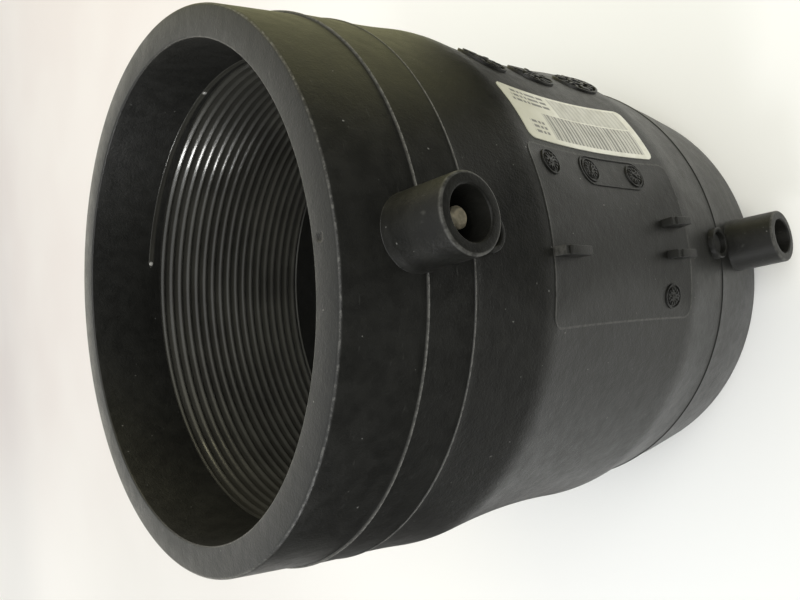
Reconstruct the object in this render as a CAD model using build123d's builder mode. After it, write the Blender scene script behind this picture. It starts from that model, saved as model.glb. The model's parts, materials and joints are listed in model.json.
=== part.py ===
from build123d import *
from math import cos, degrees, radians, sin
import os

# Electrofusion coupler for plastic pressure pipe.
#
# One black polyethylene moulding carries everything. Two plain mouths lead into two windings of heating
# wire, with a cold stretch of bare bore between them. Each winding ends at a contact pin inside a
# shroud on the outside, and beside each shroud stands a small fusion indicator.
#
# Frame: the coupler stands on its lower mouth. The origin is on the bore axis in the lower mouth's plane,
# +Z runs up the bore, and both terminals point along -Y. Azimuths count from -Y towards +X.

os.makedirs("parts", exist_ok=True)

# ---------------------------------------------------------------- driving dimensions (mm)

# Bore, along the axis from a mouth to the middle
pipe_diameter = 110.0  # outside diameter of the pipes it joins
pipe_clearance = 1.1  # radial room round the pipe
entry_length = 20.0  # plain bore before a winding
winding_turns = 18  # turns of wire in each winding
winding_pitch = 2.75  # from one turn to the next
cold_length = 20.0  # bare bore between the windings

# Wall, measured outwards from the bore
mouth_wall = 7.05
step_wall = 8.9  # just outside the first ring line
step_height = 0.35  # the collar steps up here
bead_wall = 10.1
collar_wall = 10.5  # where the ramp to the shoulder starts
shoulder_wall = 12.2
waist_wall = 10.55

# Places along the outside, from a mouth
step_place = 17.8
bead_place = 28.95
ramp_place = 37.2
shoulder_place = 49.9
bead_height = 0.25
bead_width = 0.8
mouth_rounding = 0.7

# Winding: ridges of wire under a thin glossy skin
seat_depth = 0.5  # how deep the winding lies in the wall
valley_depth = 0.25  # the skin between two turns, below the bore wall
crest_height = 0.15  # a turn stands this proud of the bore wall
crest_share = 0.62  # where along its pitch a turn is highest
lead_width = 1.7  # wire lead and cross-over, as wide ridges
lead_tip_azimuth = 161.7
lead_turn = 276.0  # angle that the lead covers
lead_start = 0.8  # past the winding's edge, where the lead leaves the first turn
lead_rise = 3.5  # along the bore, from there to the tip

# Terminals
terminal_place = 16.3  # from a mouth
shroud_diameter = 14.4
shroud_bore = 9.6
shroud_reach = 13.4  # from the collar to the rim
shroud_draft = 0.3  # how much thicker its foot is, on the radius
shroud_flare = 1.6  # rounding into the collar
shroud_floor = 1.0  # height of the cavity floor over the collar
rim_chamfer = 0.5
pin_diameter = 4.0
pin_below_rim = 2.6
pin_chamfer = 0.3
pin_foot_diameter = 6.0  # flush with the cavity floor
pin_foot_excess = 1.5  # its inner end, before it is dressed flush with the bore wall

# Fusion indicators
indicator_place = 32.2  # from a mouth
indicator_ring_diameter = 8.6
indicator_bore = 6.2
indicator_ring_height = 2.0
indicator_clearance = 0.15
indicator_below_ring = 1.5
indicator_floor = 2.4  # wall left under the blind hole

# Marks on the waist: azimuth in degrees, place in mm from the upper mouth
panel_length = 57.6
panel_width = 40.4
panel_azimuth = 0.65
panel_height = 0.25
panel_corner = 3.0
label_length = 50.6
label_width = 17.4
label_gap = 1.4  # from the panel's edge
label_thickness = 0.2
label_corner = 2.0
dial_diameter = 6.2
dial_hub = 3.6
dial_depth = 0.4
dial_azimuth = 14.4
dial_place = 58.0
lone_dial_azimuth = -11.9
lone_dial_place = 99.9
capsule_place = 83.1
capsule_spacing = 18.3
capsule_line = 0.5
lug_width = 2.1
lug_top_wall = 14.9
lug_places = ((-3.1, 51.0, 10.0), (3.6, 98.0, 7.5), (-3.1, 98.3, 7.5))  # azimuth, start, length
badge_azimuth = 48.0
badge_place = 84.4  # of the middle badge, from the upper mouth
badge_spacing = 19.2
badge_diameter = 13.2
badge_rim = 0.7
badge_hub = 4.6
badge_height = 0.8

# ---------------------------------------------------------------- sizes that follow

bore_radius = pipe_diameter / 2 + pipe_clearance
fusion_length = winding_turns * winding_pitch
body_length = 2 * (entry_length + fusion_length) + cold_length
middle = body_length / 2
seat_radius = bore_radius + seat_depth
valley_radius = bore_radius + valley_depth
crest_radius = bore_radius - crest_height
waist_radius = bore_radius + waist_wall
shoulder_radius = bore_radius + shoulder_wall
collar_radius = bore_radius + step_wall
rim_distance = collar_radius + shroud_reach
floor_distance = collar_radius + shroud_floor
pin_foot_start = bore_radius - pin_foot_excess
root_distance = bore_radius + mouth_wall / 2
pin_distance = rim_distance - pin_below_rim
indicator_surface = bore_radius + bead_wall
indicator_top = indicator_surface + indicator_ring_height
indicator_base = seat_radius + indicator_floor
lead_end_place = entry_length + lead_start
label_azimuth = panel_azimuth + degrees((panel_width / 2 + label_gap + label_width / 2) / waist_radius)
ends = {"upper": 1, "lower": -1}


def height(place, end=1):
    """Height of a place that is measured from the upper mouth (end 1) or the lower mouth (end -1)."""
    return middle + end * (middle - place)


def waist_at(level):
    """Radius of the waist at a height above the lower mouth, near enough to set a mark's height."""
    share = (level - middle) / (middle - shoulder_place)
    return waist_radius + (shoulder_radius - waist_radius) * share**2


def facing(azimuth, level, distance):
    """A plane square to the outward direction at that azimuth, with its local x along the bore."""
    angle = radians(azimuth - 90)
    outward = (cos(angle), sin(angle), 0)
    return Plane(origin=(distance * outward[0], distance * outward[1], level), x_dir=(0, 0, 1), z_dir=outward)


def radial_plane(level):
    """Sections of what is turned about a terminal's axis: local x across it, local -y outwards."""
    return Plane(origin=(0, 0, level), x_dir=(1, 0, 0), z_dir=(0, 0, 1))


def radial_axis(level):
    return Axis((0, 0, level), (0, -1, 0))


def collar_points(end):
    """Outside of one collar, from its mouth to the shoulder, as (radius, height)."""
    bead_side = bead_width / 2
    bead_radius = bore_radius + bead_wall
    walls = (
        (mouth_wall, 0),
        (step_wall, step_place),
        (step_wall + step_height, step_place),
        (bead_wall, bead_place - bead_side),
    )
    points = [(bore_radius + wall, height(place, end)) for wall, place in walls]
    points.append((bead_radius + bead_height, height(bead_place, end)))
    points.append((bead_radius, height(bead_place + bead_side, end)))
    points.append((bore_radius + collar_wall, height(ramp_place, end)))
    points.append((shoulder_radius, height(shoulder_place, end)))
    return points


def bore_points(end):
    """Inside wall of one half, from its mouth to the middle, with the winding's seat."""
    fusion_end = entry_length + fusion_length
    return [
        (bore_radius, height(0, end)),
        (bore_radius, height(entry_length, end)),
        (seat_radius, height(entry_length, end)),
        (seat_radius, height(fusion_end, end)),
        (bore_radius, height(fusion_end, end)),
    ]


# ---------------------------------------------------------------- body

with BuildPart() as body:
    upper_collar = collar_points(1)
    lower_collar = collar_points(-1)
    with BuildSketch(Plane.XZ):
        with BuildLine():
            Polyline(*upper_collar)
            ThreePointArc(upper_collar[-1], (waist_radius, middle), lower_collar[-1])
            Polyline(*reversed(lower_collar))
            Line(lower_collar[0], (bore_radius, 0))
            Polyline(*bore_points(-1), *reversed(bore_points(1)))
            Line((bore_radius, body_length), upper_collar[0])
        make_face()
    revolve(axis=Axis.Z)
    mouth_edges = [
        body.edges().filter_by(GeomType.CIRCLE).group_by(Axis.Z)[side].sort_by(SortBy.RADIUS)[-1]
        for side in (0, -1)
    ]
    fillet(mouth_edges, mouth_rounding)

    # Contact shrouds, with a flared foot and a drafted wall
    shroud_radius = shroud_diameter / 2
    foot_radius = shroud_radius + shroud_draft
    flare_radius = foot_radius + shroud_flare
    flare_middle = shroud_flare * (1 - sin(radians(45)))
    for end in ends.values():
        level = height(terminal_place, end)
        with BuildSketch(radial_plane(level)):
            with BuildLine():
                Polyline(
                    (0, -root_distance),
                    (flare_radius, -root_distance),
                    (flare_radius, -collar_radius),
                )
                ThreePointArc(
                    (flare_radius, -collar_radius),
                    (foot_radius + flare_middle, -(collar_radius + flare_middle)),
                    (foot_radius, -(collar_radius + shroud_flare)),
                )
                Polyline(
                    (foot_radius, -(collar_radius + shroud_flare)),
                    (shroud_radius, -(rim_distance - rim_chamfer)),
                    (shroud_radius - rim_chamfer, -rim_distance),
                    (0, -rim_distance),
                    (0, -root_distance),
                )
            make_face()
        revolve(axis=radial_axis(level))

    # Fusion indicator rings
    for end in ends.values():
        with BuildSketch(facing(0, height(indicator_place, end), root_distance)):
            Circle(indicator_ring_diameter / 2)
        extrude(amount=indicator_top - root_distance)

    # Raised panel for the moulded marks
    with BuildPart(mode=Mode.PRIVATE) as panel:
        with BuildSketch(Plane.XZ):
            with BuildLine():
                for offset in (-panel_height, panel_height):
                    ThreePointArc(
                        (shoulder_radius + offset, height(shoulder_place, 1)),
                        (waist_radius + offset, middle),
                        (shoulder_radius + offset, height(shoulder_place, -1)),
                    )
                for end in ends.values():
                    Line(
                        (shoulder_radius - panel_height, height(shoulder_place, end)),
                        (shoulder_radius + panel_height, height(shoulder_place, end)),
                    )
            make_face()
        revolve(axis=Axis.Z)
        with BuildSketch(facing(panel_azimuth, middle, root_distance)):
            RectangleRounded(panel_length, panel_width, panel_corner)
        extrude(amount=shoulder_radius + panel_height - root_distance, mode=Mode.INTERSECT)
    add(panel.part)

    # Lugs that stand on the waist
    for azimuth, start, length in lug_places:
        with BuildSketch(facing(azimuth, height(start + length / 2), root_distance)):
            Rectangle(length, lug_width)
        extrude(amount=bore_radius + lug_top_wall - root_distance)

    # Round badges, each a rim round a low hub
    for step in (-1, 0, 1):
        badge_level = height(badge_place) + step * badge_spacing
        with BuildSketch(facing(badge_azimuth, badge_level, root_distance)):
            Circle(badge_diameter / 2)
            Circle(badge_diameter / 2 - badge_rim, mode=Mode.SUBTRACT)
            Circle(badge_hub / 2)
        extrude(amount=waist_at(badge_level) + badge_height - root_distance)

    # Date dials: a ring sunk round a hub
    panel_radius = waist_radius + panel_height
    dials = (
        (dial_azimuth, dial_place),
        (dial_azimuth, capsule_place - capsule_spacing / 2),
        (dial_azimuth, capsule_place + capsule_spacing / 2),
        (lone_dial_azimuth, lone_dial_place),
    )
    for azimuth, place in dials:
        with BuildSketch(facing(azimuth, height(place), panel_radius - dial_depth)):
            Circle(dial_diameter / 2 - capsule_line)
            Circle(dial_hub / 2, mode=Mode.SUBTRACT)
        extrude(amount=shoulder_wall, mode=Mode.SUBTRACT)

    # Outline of the capsule round the two middle dials
    with BuildSketch(facing(dial_azimuth, height(capsule_place), panel_radius - dial_depth)):
        SlotCenterToCenter(capsule_spacing, dial_diameter + 2 * capsule_line)
        SlotCenterToCenter(capsule_spacing, dial_diameter, mode=Mode.SUBTRACT)
    extrude(amount=shoulder_wall, mode=Mode.SUBTRACT)

    # Cavities: shrouds, contact pins and fusion indicators
    for end in ends.values():
        terminal_level = height(terminal_place, end)
        cavities = (
            (terminal_level, shroud_bore, floor_distance, rim_distance),
            (terminal_level, pin_foot_diameter, pin_foot_start, floor_distance),
            (height(indicator_place, end), indicator_bore, indicator_base, indicator_top),
        )
        for level, diameter, inner, outer in cavities:
            with BuildSketch(facing(0, level, inner)):
                Circle(diameter / 2)
            extrude(amount=outer - inner, mode=Mode.SUBTRACT)

body.part.label = "body"
export_step(body.part, "parts/body.step")

# ---------------------------------------------------------------- heating wire


def winding_points(end):
    """Section of one winding: flat back in its seat, one ridge for each turn."""
    points = [(seat_radius, height(entry_length, end))]
    for turn in range(winding_turns):
        start = entry_length + turn * winding_pitch
        points.append((valley_radius, height(start, end)))
        points.append((crest_radius, height(start + crest_share * winding_pitch, end)))
    points.append((valley_radius, height(entry_length + fusion_length, end)))
    points.append((seat_radius, height(entry_length + fusion_length, end)))
    return points


with BuildPart() as heating_wire:
    for end in ends.values():
        with BuildSketch(Plane.XZ):
            with BuildLine():
                Polyline(*winding_points(end), close=True)
            make_face()
        revolve(axis=Axis.Z)

    # Lead of the upper winding, a low ridge that climbs from the first turn towards the mouth. It is made
    # at azimuth +X and turned into place, and the lower one is its half turn about the terminals' direction.
    with BuildPart(mode=Mode.PRIVATE) as lead:
        with BuildLine():
            lead_path = Helix(
                pitch=lead_rise * 360 / lead_turn,
                height=lead_rise,
                radius=bore_radius,
                center=(0, 0, height(lead_end_place)),
            )
        with BuildSketch(Plane(origin=lead_path @ 0, x_dir=(-1, 0, 0), z_dir=lead_path % 0)):
            with BuildLine():
                Polyline(
                    (0, -lead_width / 2),
                    (crest_height, -lead_width / 4),
                    (crest_height, lead_width / 4),
                    (0, lead_width / 2),
                    close=True,
                )
            make_face()
        sweep(path=lead_path, is_frenet=True)
    turned_lead = lead.part.rotate(Axis.Z, lead_tip_azimuth - 90 - lead_turn)
    add(turned_lead)
    add(turned_lead.rotate(Axis((0, 0, middle), (0, 1, 0)), 180))

    # Cross-over: the wire runs from one winding to the other along the bore wall
    cross_reach = cold_length / 2 + winding_pitch
    cross_angle = degrees(lead_width / bore_radius)
    with BuildSketch(Plane.XZ):
        with BuildLine():
            Polyline(
                (bore_radius, middle - cross_reach),
                (crest_radius, middle - cross_reach),
                (crest_radius, middle + cross_reach),
                (bore_radius, middle + cross_reach),
                close=True,
            )
        make_face()
    revolve(axis=Axis.Z, revolution_arc=cross_angle)

heating_wire.part.label = "heating_wire"
export_step(heating_wire.part, "parts/heating_wire.step")

# ---------------------------------------------------------------- contact pins

for name, end in ends.items():
    level = height(terminal_place, end)
    with BuildPart() as contact_pin:
        with BuildSketch(radial_plane(level)):
            with BuildLine():
                Polyline(
                    (0, -pin_foot_start),
                    (pin_foot_diameter / 2, -pin_foot_start),
                    (pin_foot_diameter / 2, -floor_distance),
                    (pin_diameter / 2, -floor_distance),
                    (pin_diameter / 2, -(pin_distance - pin_chamfer)),
                    (pin_diameter / 2 - pin_chamfer, -pin_distance),
                    (0, -pin_distance),
                    close=True,
                )
            make_face()
        revolve(axis=radial_axis(level))
        # The foot's end is dressed flush with the bore wall
        with BuildSketch(Plane.XY):
            Circle(bore_radius)
        extrude(amount=body_length, mode=Mode.SUBTRACT)
    contact_pin.part.label = "contact_pin_" + name
    export_step(contact_pin.part, "parts/contact_pin_" + name + ".step")

# ---------------------------------------------------------------- fusion indicator pins

for name, end in ends.items():
    with BuildPart() as indicator_pin:
        with BuildSketch(facing(0, height(indicator_place, end), indicator_base)):
            Circle(indicator_bore / 2 - indicator_clearance)
        extrude(amount=indicator_top - indicator_below_ring - indicator_base)
    indicator_pin.part.label = "indicator_pin_" + name
    export_step(indicator_pin.part, "parts/indicator_pin_" + name + ".step")

# ---------------------------------------------------------------- label

with BuildPart() as label:
    with BuildSketch(Plane.XZ):
        with BuildLine():
            for offset in (0, label_thickness):
                ThreePointArc(
                    (shoulder_radius + offset, height(shoulder_place, 1)),
                    (waist_radius + offset, middle),
                    (shoulder_radius + offset, height(shoulder_place, -1)),
                )
            for end in ends.values():
                Line(
                    (shoulder_radius, height(shoulder_place, end)),
                    (shoulder_radius + label_thickness, height(shoulder_place, end)),
                )
        make_face()
    revolve(axis=Axis.Z)
    with BuildSketch(facing(label_azimuth, middle, root_distance)):
        RectangleRounded(label_length, label_width, label_corner)
    extrude(amount=shoulder_radius + label_thickness - root_distance, mode=Mode.INTERSECT)
label.part.label = "label"
export_step(label.part, "parts/label.step")
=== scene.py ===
# %% [markdown]
# # Electrofusion coupler
#
# A straight coupler that welds two lengths of polyethylene pipe. Current through the wire just under the
# bore's skin melts the plastic. The moulding is matte black, the windings are glossy, and one white label
# is the only pale thing on it.
#
# Sizes below are in millimetres, as on a drawing. Each piece is modelled in millimetres in a bmesh, and is
# scaled to metres in one place, just before it becomes an object.

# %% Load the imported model
import bmesh
import bpy
import json
import random
from math import atan2, cos, degrees, hypot, pi, radians, sin, sqrt
from mathutils import Matrix, Quaternion, Vector


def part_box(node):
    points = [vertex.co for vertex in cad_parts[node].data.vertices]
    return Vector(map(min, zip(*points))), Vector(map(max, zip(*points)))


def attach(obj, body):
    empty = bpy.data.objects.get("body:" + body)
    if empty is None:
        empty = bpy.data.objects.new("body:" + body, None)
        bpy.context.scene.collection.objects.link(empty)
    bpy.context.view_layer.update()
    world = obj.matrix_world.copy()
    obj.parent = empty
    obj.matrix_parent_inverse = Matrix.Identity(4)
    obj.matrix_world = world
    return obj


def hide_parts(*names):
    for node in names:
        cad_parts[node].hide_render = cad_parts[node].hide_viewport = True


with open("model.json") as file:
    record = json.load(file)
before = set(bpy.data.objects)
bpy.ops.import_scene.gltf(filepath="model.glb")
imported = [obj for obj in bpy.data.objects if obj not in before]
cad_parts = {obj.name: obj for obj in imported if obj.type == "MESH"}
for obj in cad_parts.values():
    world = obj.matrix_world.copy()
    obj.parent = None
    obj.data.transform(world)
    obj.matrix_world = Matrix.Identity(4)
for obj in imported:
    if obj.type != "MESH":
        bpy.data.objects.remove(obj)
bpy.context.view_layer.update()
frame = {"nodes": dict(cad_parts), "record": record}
MM = 0.001  # metres in a millimetre
print("nodes:", sorted(frame["nodes"]))

# %% [markdown]
# ## Sizes, partly from the model
#
# The bore and the length come from the frame, so a change in the solid model reaches this file. The other
# sizes are the drawing's own, measured outwards from the bore wall or along the bore from a mouth.

# %% Sizes of the moulding
mounts = {mount["name"]: mount for mount in frame["record"]["mounts"]}
bore_radius = mounts["socket_upper"]["dims"]["r_mm"]
body_length = (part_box("body")[1][2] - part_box("body")[0][2]) / MM
middle = body_length / 2

entry_length = 20.0  # plain bore before a winding
winding_turns = 18
winding_pitch = 2.75
fusion_length = winding_turns * winding_pitch
seat_depth = 0.5  # how deep the winding lies in the wall

terminal_place = 16.3  # places are measured from a mouth
step_place = 17.8
bead_place = 28.95
indicator_place = 32.2
ramp_place = 37.2
shoulder_place = 49.9

mouth_radius = bore_radius + 7.05
collar_radius = bore_radius + 8.9
step_radius = bore_radius + 9.25
bead_radius = bore_radius + 10.1
ramp_radius = bore_radius + 10.5
shoulder_radius = bore_radius + 12.2
waist_radius = bore_radius + 10.55
print(f"bore {2 * bore_radius:.1f} mm, length {body_length:.1f} mm")

# %% [markdown]
# ## The camera
#
# The coupler stands on one mouth and is seen from close by and above, with the camera rolled on its side,
# so that the bore points to the left of the picture. The camera is aimed first, upright, and then rolled
# about its own line of sight. A near camera and a wide lens give the strong taper from one mouth to the
# other, which a distant camera would lose.

# %% Aim and roll the camera
camera_place = Vector((-23.7, -154.2, 227.7)) * MM
camera_turn = 7.48  # from +Y towards +X
camera_tilt = 41.3  # below level
camera_roll = -92.3
camera_lens = 32.06

turn, tilt = radians(camera_turn), radians(camera_tilt)
line_of_sight = Vector((sin(turn) * cos(tilt), cos(turn) * cos(tilt), -sin(tilt)))
upright = line_of_sight.to_track_quat("-Z", "Y")
roll = Quaternion((0, 0, 1), radians(camera_roll))
camera = bpy.data.objects.new("camera", bpy.data.cameras.new("camera"))
camera.data.lens = camera_lens
camera.data.sensor_width = 36.0
camera.data.clip_start = 0.005
camera.matrix_world = Matrix.Translation(camera_place) @ (upright @ roll).to_matrix().to_4x4()
bpy.context.scene.collection.objects.link(camera)
bpy.context.scene.camera = camera
print("camera:", [round(value, 4) for value in camera.location])

# %% [markdown]
# ## Helpers for turned shapes
#
# Nearly everything here was turned or drilled in the mould, so nearly everything is a section spun about
# an axis. A section is drawn as one flat face, its corners are rounded with a vertex bevel, and then only
# its outline is spun. Rounding the flat outline is cheaper and cleaner than bevelling the finished ring.
# A corner is three numbers: across, along, and the radius that rounds it, where 0 leaves it sharp.

# %% Short ways to bevel, spin, rotate and start a block
merge_distance = 0.0005


def bevel(bm, geom, offset, segments=2, affect="EDGES"):
    bmesh.ops.bevel(bm, geom=geom, offset=offset, offset_type="OFFSET", segments=segments,
                    profile=0.5, affect=affect, material=-1)


def spin(bm, geom, angle, steps, axis=(0, 0, 1), centre=(0, 0, 0), rise=0.0, merge=False):
    """Spins geom about an axis. Each step also moves it by rise along Z."""
    bmesh.ops.spin(bm, geom=geom, cent=centre, axis=axis, dvec=(0, 0, rise), angle=angle, steps=steps,
                   use_merge=merge, use_normal_flip=False, use_duplicate=False)


def rotate(bm, angle, axis="Z", centre=(0, 0, 0)):
    bmesh.ops.rotate(bm, cent=centre, matrix=Matrix.Rotation(angle, 3, axis), verts=bm.verts)


def block(width, length, depth):
    bm = bmesh.new()
    bmesh.ops.create_cube(bm, size=1)
    bmesh.ops.scale(bm, vec=(width, length, depth), verts=bm.verts)
    return bm


def face_outwards(bm):
    """Turns a closed shape's faces outwards. A flat shape may come out of the first step inside out."""
    bmesh.ops.recalc_face_normals(bm, faces=bm.faces)
    if bm.calc_volume(signed=True) < 0:
        bmesh.ops.reverse_faces(bm, faces=bm.faces)


# %% Draw a section and spin it
def section(bm, corners, plane, segments=4):
    """One flat face with rounded corners. plane turns across and along into a place."""
    verts = [bm.verts.new(plane(across, along)) for across, along, rounding in corners]
    bm.faces.new(verts)
    for vert, (across, along, rounding) in zip(verts, corners):
        if rounding:
            bevel(bm, [vert], rounding, segments, affect="VERTICES")


def spin_section(corners, plane, centre, axis, steps):
    """A closed ring or plug: the rounded section, spun once round the axis."""
    bm = bmesh.new()
    section(bm, corners, plane)
    bmesh.ops.delete(bm, geom=bm.faces[:], context="FACES_ONLY")
    spin(bm, bm.verts[:] + bm.edges[:], 2 * pi, steps, axis, centre, merge=True)
    bmesh.ops.remove_doubles(bm, verts=bm.verts, dist=merge_distance)
    bmesh.ops.dissolve_degenerate(bm, dist=merge_distance, edges=bm.edges)
    face_outwards(bm)
    return bm


def about_bore(radius, level):
    """Sections of what is turned about the bore."""
    return (radius, 0, level)


def turn_about_bore(corners, steps):
    """Turns (radius, level, rounding) corners about the bore's axis."""
    return spin_section(corners, about_bore, centre=(0, 0, 0), axis=(0, 0, 1), steps=steps)


def turn_outwards(corners, level, steps):
    """Turns (across, distance from the bore's axis, rounding) corners about a line towards -Y."""
    def plane(across, distance):
        return (across, -distance, level)

    return spin_section(corners, plane, centre=(0, 0, level), axis=(0, 1, 0), steps=steps)


def height(place, end=1):
    """Height of a place measured from the upper mouth (end 1) or the lower mouth (end -1)."""
    return middle + end * (middle - place)


ENDS = {"upper": 1, "lower": -1}

# %% Turn bmeshes into one finished object
def finished(name, shapes, sharp_angle=32):
    """Joins the shapes, scales them to metres and shades them smooth, with true edges left sharp."""
    whole = bpy.data.meshes.new(name)
    joined = bmesh.new()
    for shape in shapes:
        shape.to_mesh(whole)
        joined.from_mesh(whole)
        shape.free()
    bmesh.ops.scale(joined, vec=(MM, MM, MM), verts=joined.verts)
    joined.to_mesh(whole)
    triangles = sum(len(face.verts) - 2 for face in joined.faces)
    joined.free()
    whole.shade_smooth()
    whole.set_sharp_from_angle(angle=radians(sharp_angle))
    piece = bpy.data.objects.new(name, whole)
    bpy.context.scene.collection.objects.link(piece)
    print(f"{name}: {triangles} triangles")
    return piece

# %% [markdown]
# ## The wall
#
# The moulding is one closed ring. Its outside falls from the collar at each mouth, over a parting step, a
# thin bead and a ramp, to a soft shoulder, and then dips in a long shallow arc to a waist. The bore is
# plain except for the two shallow seats that the windings fill.

# %% The waist's arc
waist_half = middle - shoulder_place
waist_dip = shoulder_radius - waist_radius
waist_arc = (waist_half ** 2 + waist_dip ** 2) / (2 * waist_dip)


def waist_at(level):
    """Radius of the outside between the shoulders, at a height above the lower mouth."""
    return waist_radius + waist_arc - sqrt(waist_arc ** 2 - (level - middle) ** 2)


# %% Spin the wall
line_half = 0.22  # half the width of a raised line
top_half = 0.4 * line_half  # half of the line's flat top
bead_foot = 1.4 * line_half
step_line, step_rounding = 0.2, 0.12  # how proud the parting line stands, and how round it is
bead_line, bead_rounding = 0.25, 0.1
swelling_before, swelling_after, swelling_rounding = 2.5, 1.5, 3.0
mouth_rounding, bore_rounding = 0.7, 0.45
ramp_rounding, shoulder_rounding = 6.0, 3.0
arc_points = 24
wall_steps = 256


def parting_step(end):
    """The step is a crisp raised line on the upper half, and only a soft swelling on the lower half."""
    if end == ENDS["lower"]:
        return [
            (collar_radius, height(step_place - swelling_before, end), swelling_rounding),
            (step_radius, height(step_place + swelling_after, end), swelling_rounding),
        ]
    return [
        (collar_radius, height(step_place - line_half, end), 0),
        (step_radius + step_line, height(step_place - top_half, end), step_rounding),
        (step_radius + step_line, height(step_place + top_half, end), step_rounding),
        (step_radius, height(step_place + line_half, end), 0),
    ]


def collar(end):
    """Corners from one mouth to its shoulder."""
    return [
        (mouth_radius, height(0, end), mouth_rounding),
        *parting_step(end),
        (bead_radius, height(bead_place - bead_foot, end), bead_rounding),
        (bead_radius + bead_line, height(bead_place - top_half, end), bead_rounding),
        (bead_radius + bead_line, height(bead_place + top_half, end), bead_rounding),
        (bead_radius, height(bead_place + bead_foot, end), bead_rounding),
        (ramp_radius, height(ramp_place, end), ramp_rounding),
        (shoulder_radius, height(shoulder_place, end), shoulder_rounding),
    ]


def bore_side(end):
    """Corners from one mouth to the middle of the bore."""
    fusion_end = entry_length + fusion_length
    return [
        (bore_radius, height(0, end), bore_rounding),
        (bore_radius, height(entry_length, end), 0),
        (bore_radius + seat_depth, height(entry_length, end), 0),
        (bore_radius + seat_depth, height(fusion_end, end), 0),
        (bore_radius, height(fusion_end, end), 0),
    ]


arc_step = 2 * waist_half / arc_points
waist_levels = [middle + waist_half - step * arc_step for step in range(1, arc_points)]
waist = [(waist_at(level), level, 0) for level in waist_levels]
outline = collar(1) + waist + collar(-1)[::-1] + bore_side(-1) + bore_side(1)[::-1]
wall = turn_about_bore(outline, wall_steps)
print("wall section:", len(outline), "corners")

# %% [markdown]
# ## The contact shrouds
#
# Each terminal is a pin in a tube that keeps fingers off it. The tube is turned about its own axis, which
# points along -Y, and its foot has to meet a round collar. Spinning gives it a flat foot, so the foot's
# lower rings are let down onto the collar afterwards: a point near the collar drops by exactly as much as
# the collar falls away below it, and a point near the rim does not move.

# %% Spin a shroud and let its foot down
shroud_radius = 7.2
shroud_bore_radius = 4.8
shroud_reach = 13.4  # from the collar to the rim
shroud_draft, shroud_bore_draft = 0.3, 0.1
shroud_flare = 0.12  # radius of the fillet round the foot
flare_step = 15  # degrees
flare_skirt = 0.08  # how far the fillet goes on below the collar's surface
shroud_floor, floor_rounding = 1.0, 0.3
rim_rounding = 0.55
mouth_chamfer, chamfer_outer, chamfer_inner = 0.3, 0.12, 0.08  # its size and its two roundings
foot_sink = 2.0  # how far the foot goes on below the collar's surface
free_height = 4 * shroud_flare
rim_distance = collar_radius + shroud_reach
shroud_steps = 96


def outside_at(place):
    """Radius of the collar at a place from its mouth."""
    if place < step_place:
        return mouth_radius + (collar_radius - mouth_radius) * place / step_place
    return step_radius + (bead_radius - step_radius) * (place - step_place) / (bead_place - step_place)


def drop_onto_collar(bm, end):
    """Lets a spun foot down onto the collar: all the way on the flare, not at all at free_height."""
    for vert in bm.verts:
        surface = outside_at(middle - end * (vert.co.z - middle))
        fall = collar_radius - sqrt(surface ** 2 - vert.co.x ** 2)
        lift = -vert.co.y - collar_radius
        share = min(1.0, max(0.0, (free_height - lift) / (free_height - shroud_flare)))
        vert.co.y += fall * share ** 2 * (3 - 2 * share)


def shroud(end):
    foot = shroud_radius + shroud_draft
    turns = [radians(angle) for angle in range(0, 90, flare_step)]
    flare = [(foot + shroud_flare * (1 - cos(turn)), shroud_flare * (1 - sin(turn)), 0) for turn in turns]
    corners = [
        (0, -foot_sink, 0),
        (foot + shroud_flare, -foot_sink, 0),
        (foot + shroud_flare, -flare_skirt, 0),
        *flare[::-1],
        (shroud_radius, shroud_reach, rim_rounding),
        (shroud_bore_radius + mouth_chamfer, shroud_reach, chamfer_outer),
        (shroud_bore_radius, shroud_reach - mouth_chamfer, chamfer_inner),
        (shroud_bore_radius - shroud_bore_draft, shroud_floor, floor_rounding),
        (0, shroud_floor, 0),
    ]
    corners = [(across, collar_radius + lift, rounding) for across, lift, rounding in corners]
    bm = turn_outwards(corners, height(terminal_place, end), shroud_steps)
    drop_onto_collar(bm, end)
    return bm


shrouds = [shroud(end) for end in ENDS.values()]
print(f"shroud rims stand {rim_distance:.1f} mm from the bore axis")

# %% [markdown]
# ## The fusion indicators
#
# Beside each shroud stands a low ring round a drilled hole, with a small pin in it. Melt pushes the pin up
# when the weld is done. The ring is open in the middle, so the pin in the frame shows through it.

# %% Spin the indicator rings
indicator_ring_radius = 4.3
indicator_bore_radius = 3.1
indicator_ring_height = 2.0
indicator_flare, indicator_draft = 0.12, 0.1
flare_below, flare_above = 0.1, 0.35  # the flare's ends, below and above the wall's surface
flare_rounding, outer_rounding, inner_rounding = 0.3, 0.35, 0.25
indicator_steps = 64


def indicator_ring(end):
    top = bead_radius + indicator_ring_height
    foot = indicator_ring_radius + indicator_flare
    corners = [
        (indicator_bore_radius, bead_radius - foot_sink, 0),
        (foot, bead_radius - foot_sink, 0),
        (foot, bead_radius - flare_below, 0),
        (indicator_ring_radius, bead_radius + flare_above, flare_rounding),
        (indicator_ring_radius - indicator_draft, top, outer_rounding),
        (indicator_bore_radius, top, inner_rounding),
    ]
    return turn_outwards(corners, height(indicator_place, end), indicator_steps)


indicator_rings = [indicator_ring(end) for end in ENDS.values()]

# %% [markdown]
# ## Marks on the waist
#
# The panel, the dials, the lugs, the badges and the label all follow the waist, which curves both ways.
# They are easiest to model flat, with x round the coupler, y along it and z outwards, and then to wrap
# onto it: x becomes an angle and z is added to the waist's own radius. Flat faces must be sliced first,
# because only their corners move.

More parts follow.
